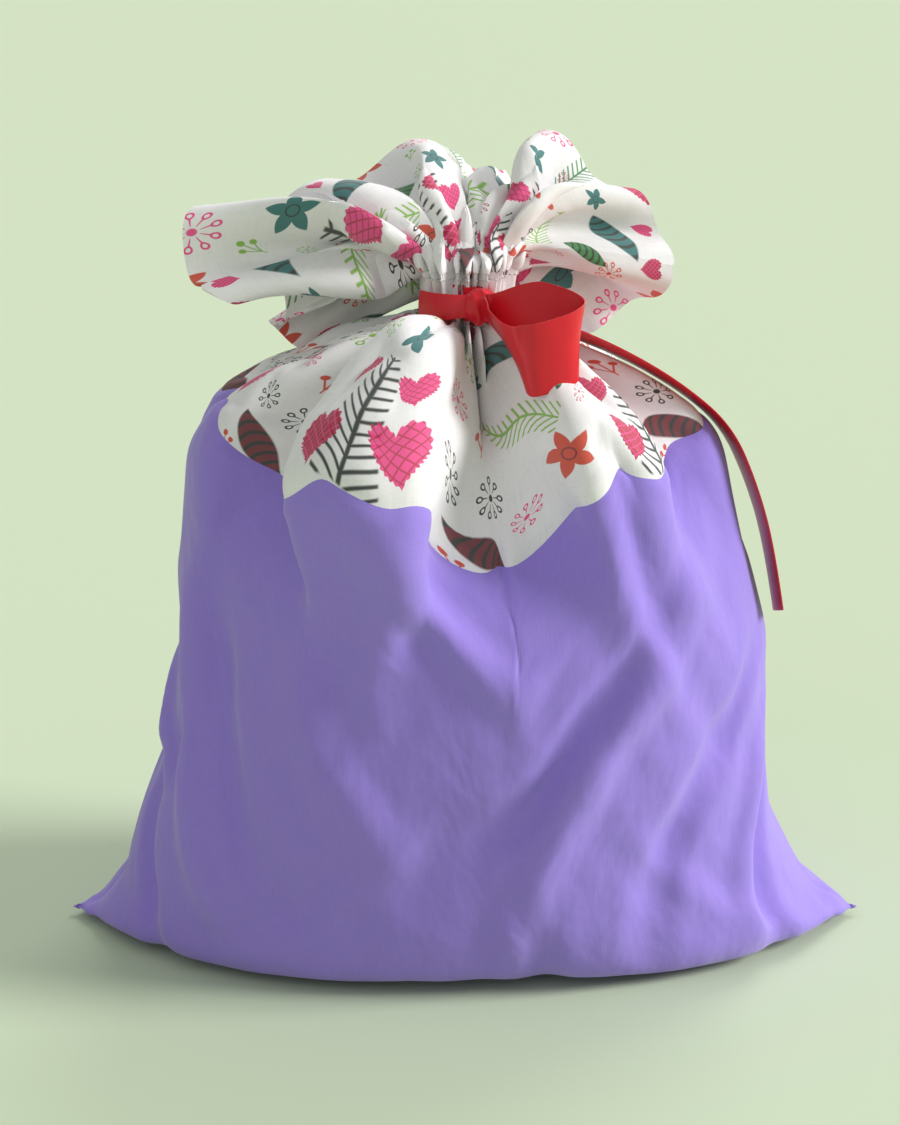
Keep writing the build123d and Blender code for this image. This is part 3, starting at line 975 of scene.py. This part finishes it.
def sew_body(cloth):
    """The plain body with its lining, and the pressed seam allowances between them."""
    lavender = plain_cotton("lavender_cotton", (0.34, 0.24, 0.76), (0.24, 0.16, 0.58))
    pale = plain_cotton("lining_cotton", (0.84, 0.82, 0.76), (0.68, 0.66, 0.60))
    pressed = plain_cotton("seam_allowance", (0.38, 0.28, 0.76), (0.26, 0.18, 0.58))
    body, join = (0, JOIN_V), (JOIN_V - ALLOWANCE, JOIN_V)
    for side, window in (("front", FRONT), ("back", BACK)):
        panel = cut_piece(cloth, f"{side}_panel_cloth", window, body, lavender)
        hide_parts(f"{side}_panel")
        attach(panel, "pouch")
        lining = cut_piece(
            cloth, f"{side}_lining_cloth", window, body, pale, LINING_DEPTH, INNER_THICKNESS, fine=False
        )
        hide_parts(f"{side}_lining")
        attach(lining, "pouch")
        press_seam(cloth, f"join_seam_{side}_cloth", f"join_seam_{side}", window, join, pressed)
    upright = (ALLOWANCE, JOIN_V - ALLOWANCE - 2)
    for side, part, foot in (
        ("left", "front", 0.0), ("left", "back", ROUND - ALLOWANCE),
        ("right", "back", BAG_WIDTH), ("right", "front", BAG_WIDTH - ALLOWANCE),
    ):
        window = (foot, foot + ALLOWANCE)
        press_seam(cloth, f"side_seam_{side}_{part}", f"side_seam_{side}", window, upright, pressed)
    press_seam(cloth, "bottom_seam_cloth", "bottom_seam", (0, ROUND), (0, ALLOWANCE), pressed)


def sew_top(cloth, printed):
    """The printed top: one cloth a side, from the join over the neck to the rim, and its facings."""
    for side, window in (("front", FRONT), ("back", BACK)):
        top = cut_piece(
            cloth, f"printed_top_{side}_cloth", window, (JOIN_V, TOP_V), printed, thickness=TOP_THICKNESS
        )
        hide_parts(f"collar_{side}", f"casing_{side}", f"ruffle_{side}")
        facing = cut_piece(
            cloth, f"facing_{side}_cloth", window, (FACING_FOOT, FACING_TOP), printed, FACING_DEPTH,
            INNER_THICKNESS, fine=False,
        )
        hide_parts(f"facing_{side}")
        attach(facing, "pouch")
        lining = cut_piece(
            cloth, f"ruffle_{side}_facing_cloth", window, (RUFFLE_V, TOP_V), printed, RUFFLE_FACING_DEPTH,
            INNER_THICKNESS,
        )
        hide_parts(f"ruffle_{side}_facing")
        for piece in (top, lining):
            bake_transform(piece, "pouch", "ruffle", start=(0, 0, 0.243), end=(0, 0, 0.262))


def dress_body(cloth):
    """Eases the tight crumples that settling leaves in the plain body, and gives it its long soft creases."""
    bm = bmesh.new()
    bm.from_mesh(cloth.data)
    flat = bm.verts.layers.float_vector["flat"]
    around = bm.verts.layers.float["around"]
    soft = [vert for vert in bm.verts if 12 * MM < vert[flat].y < (JOIN_V - 6) * MM]
    for _ in range(SOFTENINGS):
        bmesh.ops.smooth_vert(bm, verts=soft, factor=0.5, use_axis_x=True, use_axis_y=True, use_axis_z=True)
    bm.normal_update()
    shifts = []
    for vert in bm.verts:
        u, v = vert[around], vert[flat].y / MM
        if 8 < v < NECK_V - 8:
            ridge = max(0.0, fold_height(u, v)) * smoothstep(JOIN_V - 70, JOIN_V, v)
            shifts.append((vert, vert.normal * (crease_height(u, v) + FOLD_BOOST * ridge) * MM))
    for vert, shift in shifts:
        vert.co += shift
    bm.to_mesh(cloth.data)
    bm.free()


def tail_twist(share):
    """How far the tail leans about its own line, in radians, at a share of its length."""
    return radians(mix(*TAIL_LEAN, share))


def make_room_for_tail(cloth, path):
    """Presses the shoulder down where the ribbon's tail lies over it."""
    bm = bmesh.new()
    bm.from_mesh(cloth.data)
    flat = bm.verts.layers.float_vector["flat"]
    spans = list(zip(path, path[1:]))
    middles = [((a + b) / 2).xz for a, b in spans]
    foot = path[-1].z
    for vert in bm.verts:
        aside = vert.co.y / MM - TAIL_PLANE
        under = 1 - smoothstep(RIBBON_WIDTH / 2 + 1, RIBBON_WIDTH / 2 + 14, abs(aside))
        under *= smoothstep(foot - 10 * MM, foot + 4 * MM, vert.co.z)
        if under == 0 or vert[flat].y > (NECK_V - 8) * MM or vert.co.x < path[0].x:
            continue
        nearest = min(range(len(spans)), key=lambda step: (vert.co.xz - middles[step]).length)
        a, b = spans[nearest]
        forward = (b.xz - a.xz).normalized()
        outward = Vector((-forward.y, forward.x))
        lean = tan(tail_twist(nearest / len(spans))) * aside
        height = (vert.co.xz - a.xz).dot(outward) / MM - lean + TAIL_CLEARANCE
        if height > 0:
            vert.co -= Vector((outward.x, 0, outward.y)) * height * under * MM
    bm.to_mesh(cloth.data)
    bm.free()


def pinch_seams(cloth):
    """Draws the cloth in a little along its seams."""
    bm = bmesh.new()
    bm.from_mesh(cloth.data)
    bm.normal_update()
    flat = bm.verts.layers.float_vector["flat"]
    row = TOP_V / ROWS
    shifts = []
    for vert in bm.verts:
        u, v = vert[flat].x / MM, vert[flat].y / MM
        at_join = abs(v - JOIN_V) < row / 2
        at_side = min(u, BAG_WIDTH - u) < 1.0 and 10 < v < NECK_V - 20
        if at_join or at_side:
            shifts.append((vert, vert.normal * SEAM_PINCH * MM))
    for vert, shift in shifts:
        vert.co -= shift
    bm.to_mesh(cloth.data)
    bm.free()


def line_neck(printed):
    """The facing inside the gathered neck, a soft pleated sleeve that the passage goes through."""
    bm = bmesh.new()
    bmesh.ops.create_cone(bm, cap_ends=False, segments=144, radius1=1.0, radius2=1.0, depth=1.0)
    edges = [edge for edge in bm.edges if abs(edge.verts[0].co.z - edge.verts[1].co.z) > 0.5]
    bmesh.ops.subdivide_edges(bm, edges=edges, cuts=10)
    low, high = NECK_Z + SLEEVE_CLEARANCE, NECK_Z + NECK_LENGTH - SLEEVE_CLEARANCE
    for vert in bm.verts:
        turn = atan2(vert.co.y, vert.co.x)
        share = vert.co.z + 0.5
        wave = cos(PLEATS * turn + 0.5 * sin(3 * turn))
        radius = SLEEVE_RADIUS + SLEEVE_FLARE * (2 * share - 1) ** 4 + SLEEVE_PLEAT * wave
        vert.co = Vector((radius * cos(turn), radius * sin(turn), mix(low, high, share))) * MM
    lay_pattern(bm, lambda vert: (
        atan2(vert.co.y, vert.co.x) / (2 * pi) % 1.0 * ROUND * MM, (NECK_V + vert.co.z / MM - NECK_Z) * MM
    ))
    bmesh.ops.recalc_face_normals(bm, faces=bm.faces)
    sleeve = thicken(make_object("neck_facing_cloth", bm, printed), SEAM_THICKNESS, 0)
    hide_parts("casing_facing_front", "casing_facing_back")
    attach(sleeve, "pouch")


def stitch_casing(thread):
    """A row of running stitches above and below the ribbon."""
    count = round(ROUND / STITCH_PITCH)
    radius = STITCH_RADIUS * MM
    for name, v in (("upper", RUFFLE_V - STITCH_INSET), ("lower", NECK_V + STITCH_INSET)):
        bm = bmesh.new()
        for number in range(count):
            u = (number + 0.5) * ROUND / count
            start, end = (neck_point(u + way * STITCH_LENGTH / 2, v) for way in (-1, 1))
            middle = (start + end) / 2
            outward = Vector((middle.x, middle.y, 0)).normalized()
            turn = (end - start).to_track_quat("Z", "Y").to_matrix().to_4x4()
            place = Matrix.Translation((middle + outward * STITCH_LIFT) * MM)
            bmesh.ops.create_cone(
                bm, cap_ends=True, segments=6, radius1=radius, radius2=radius,
                depth=(end - start).length * MM, matrix=place @ turn,
            )
        row = make_object(f"casing_stitches_{name}", bm, thread)
        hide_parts(f"casing_stitch_{name}")
        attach(row, "pouch")


# ---- the ribbon ----------------------------------------------------------------------------------------


def smooth_route(points):
    """Places along a NURBS spline with these control points, in metres."""
    curve = bpy.data.curves.new("route", "CURVE")
    curve.dimensions = "3D"
    spline = curve.splines.new("NURBS")
    spline.points.add(len(points) - 1)
    for point, place in zip(spline.points, points):
        point.co = (*place, 1)
    spline.order_u = 3
    spline.use_endpoint_u = True
    spline.resolution_u = 10
    carrier = bpy.data.objects.new("route", curve)
    bpy.context.collection.objects.link(carrier)
    line = bpy.data.meshes.new_from_object(carrier)
    places = [vert.co.copy() for vert in line.vertices]
    bpy.data.objects.remove(carrier)
    bpy.data.curves.remove(curve)
    bpy.data.meshes.remove(line)
    return places


def smooth_ribbon(route):
    """A ribbon's centre line, and which way its width points at each place of it."""
    centres = smooth_route([Vector(place) * MM for place, across in route])
    return centres, smooth_route([Vector(across) for place, across in route])


def ribbon_strip(name, centres, acrosses, width_at, material, cup=0.0, slant=0.0):
    """A flat ribbon along its centre line; acrosses say which way its width points at each place."""
    count = len(centres)
    lengths = [0.0]
    for a, b in zip(centres, centres[1:]):
        lengths.append(lengths[-1] + (b - a).length)
    bm = bmesh.new()
    bmesh.ops.create_grid(bm, x_segments=count - 1, y_segments=10, size=1.0)
    places = {}
    for vert in bm.verts:
        step, t = round((vert.co.x + 1) / 2 * (count - 1)), vert.co.y / 2
        before, after = centres[max(0, step - 1)], centres[min(count - 1, step + 1)]
        forward = (after - before).normalized()
        across = (acrosses[step] - forward * acrosses[step].dot(forward)).normalized()
        normal = forward.cross(across)
        share = lengths[step] / lengths[-1]
        width = width_at(share) * MM
        shift = slant * MM * t * smoothstep(0.8, 1.0, share)
        places[vert] = (
            centres[step] + across * width * t + normal * cup * MM * (4 * t * t - 1) + forward * shift,
            (t * width, lengths[step] + shift),
        )
    lay_pattern(bm, lambda vert: places[vert][1])
    for vert, (place, _) in places.items():
        vert.co = place
    return thicken(make_object(name, bm, material), RIBBON_THICKNESS, 0)


def hang_tail(red):
    """The ribbon's long end, over the right shoulder and down the side."""
    path = smooth_route([Vector((x, TAIL_PLANE, z)) * MM for x, z in TAIL_ROUTE])
    twists = [tail_twist(step / (len(path) - 1)) for step in range(len(path))]
    acrosses = [Vector((0.25 * sin(2 * twist), cos(twist), sin(twist))) for twist in twists]
    tail = ribbon_strip(
        "ribbon_tail", path, acrosses,
        lambda share: mix(PINCHED_WIDTH, RIBBON_WIDTH, smoothstep(0.0, 0.16, share)), red, cup=0.6,
        slant=TAIL_SLANT,
    )
    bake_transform(tail, "tail_upper", "tail_end", start=(0.086, -0.014, 0.196), end=(0.095, -0.014, 0.182))
    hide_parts("ribbon_tail_upper", "ribbon_tail_end")
    return path


def tie_loop(red):
    """The bow's single loop: it leaves the knot pinched, opens to its full width and comes back."""
    centres, acrosses = smooth_ribbon(LOOP_ROUTE)
    loop = ribbon_strip(
        "bow_loop_ribbon", centres, acrosses,
        lambda share: mix(PINCHED_WIDTH, RIBBON_WIDTH, smoothstep(0.0, 0.2, min(share, 1 - share))),
        red, cup=0.5,
    )
    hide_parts("ribbon_loop")
    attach(loop, "bow_loop")


def tie_knot(red):
    """The knot: ribbon drawn tight round itself, in soft pleats, and its short run out of the casing."""
    bm = bmesh.new()
    bmesh.ops.create_uvsphere(bm, u_segments=64, v_segments=40, radius=1.0)
    lay_pattern(bm, lambda vert: (vert.co.x * 0.012, (atan2(vert.co.z, vert.co.y) / pi + 1) * 0.02))
    facing = Matrix.Rotation(KNOT_DIRECTION + pi / 2, 3, "Z")
    middle = Vector((KNOT_REACH * cos(KNOT_DIRECTION), KNOT_REACH * sin(KNOT_DIRECTION), KNOT_Z))
    for vert in bm.verts:
        x, y, z = vert.co
        around = sqrt(max(0.0, 1 - x * x))
        turn = atan2(z, -y)
        pleat = 0.5 * abs(sin(4.5 * x + 0.8 * sin(turn))) + 0.35 * sin(9 * x + 2 * turn)
        radius = (KNOT_RADIUS + pleat * 0.9 * around - 0.8 * x * x) * around**0.6
        waist = 1 - 0.18 * cos(2 * turn)
        place = Vector((x * KNOT_HALF, -cos(turn) * radius * waist, sin(turn) * radius * 1.08))
        vert.co = (facing @ place + middle) * MM
    knot = make_object("ribbon_knot_wrap", bm, red)
    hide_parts("ribbon_knot")
    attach(knot, "pouch")
    run = ribbon_strip(
        "ribbon_run_to_knot", *smooth_ribbon(RUN_ROUTE), lambda share: mix(11, 7, share), red, cup=-0.8
    )
    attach(run, "pouch")


def main():
    place_camera()
    red = satin("satin_ribbon", (0.72, 0.006, 0.022), (0.50, 0.002, 0.012))
    tail_path = hang_tail(red)
    light_studio()
    floor = lay_floor()
    cloth = cut_cloth()
    contents = fill_bag()
    settle(cloth, [contents, floor])
    bpy.data.objects.remove(contents)
    dress_body(cloth)
    make_room_for_tail(cloth, tail_path)
    pinch_seams(cloth)
    sew_body(cloth)
    printed = print_cotton()
    sew_top(cloth, printed)
    bpy.data.objects.remove(cloth)
    line_neck(printed)
    stitch_casing(plain_thread("sewing_thread", (0.85, 0.84, 0.86)))
    tie_knot(red)
    tie_loop(red)
    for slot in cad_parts["ribbon_run"].material_slots:
        slot.material = red


main()
